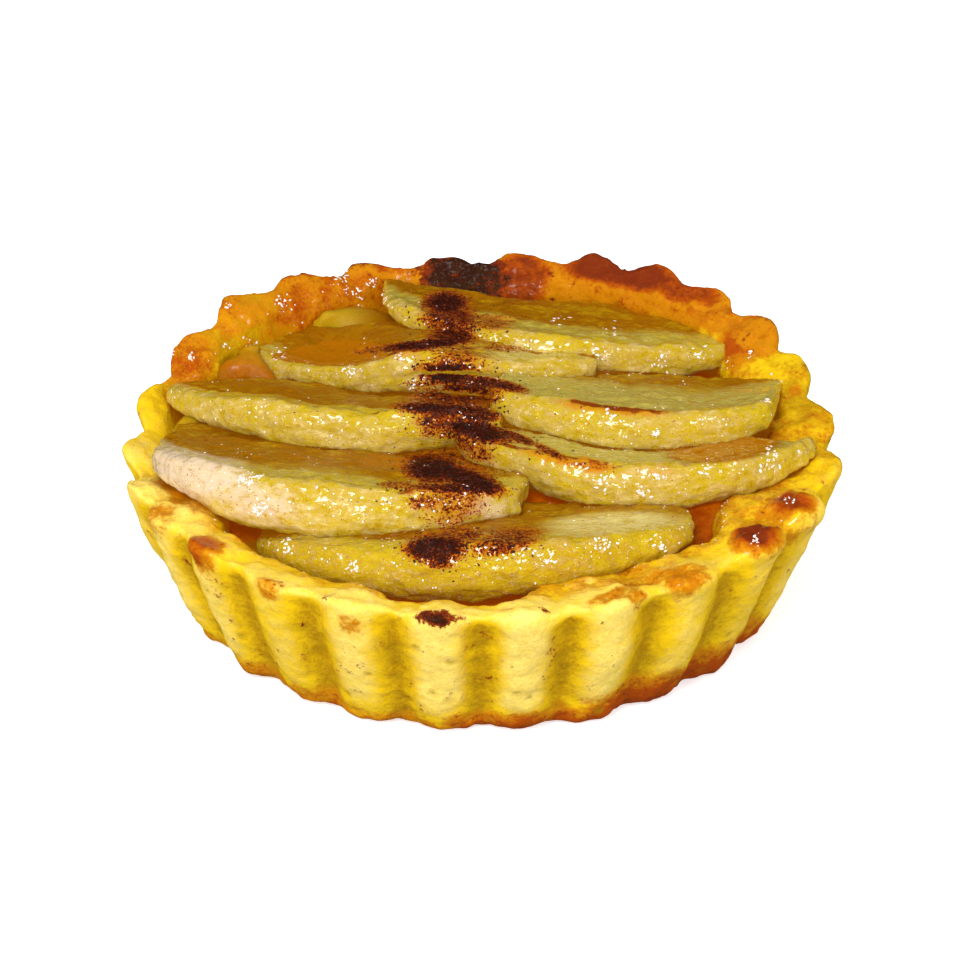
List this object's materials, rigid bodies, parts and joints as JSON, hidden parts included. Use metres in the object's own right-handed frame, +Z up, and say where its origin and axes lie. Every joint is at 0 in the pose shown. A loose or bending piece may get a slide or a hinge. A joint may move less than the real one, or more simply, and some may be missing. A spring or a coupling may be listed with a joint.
{
  "type": "apple tart",
  "caption": "Round fluted tartlet of baked shortcrust, filled with jam and topped with overlapping glazed apple slices under a streak of cinnamon.",
  "frame": {"origin": "centre of the flat base, on the surface that the tart stands on", "axes": "+Z up along the axis of the round crust, -Y towards the front shown in the picture, +X to its right"},
  "size_m": [0.1006, 0.1002, 0.028],
  "materials": {
    "crust": "baked shortcrust, pale yellow with a toasted foot and rim, slightly glazed on the rim",
    "jam": "set fruit jam, deep orange to red-brown, glossy",
    "apple": "baked apple flesh, yellow-green to cream, under a clear sugary glaze"
  },
  "bodies": {
    "root": {"crust": "crust", "filling": "jam", "apple_slice_front": "apple", "apple_slice_left_front": "apple", "apple_slice_right_front": "apple", "apple_slice_left_middle": "apple", "apple_slice_right_middle": "apple", "apple_slice_left_back": "apple", "apple_slice_right_back": "apple"}
  },
  "joints": []
}
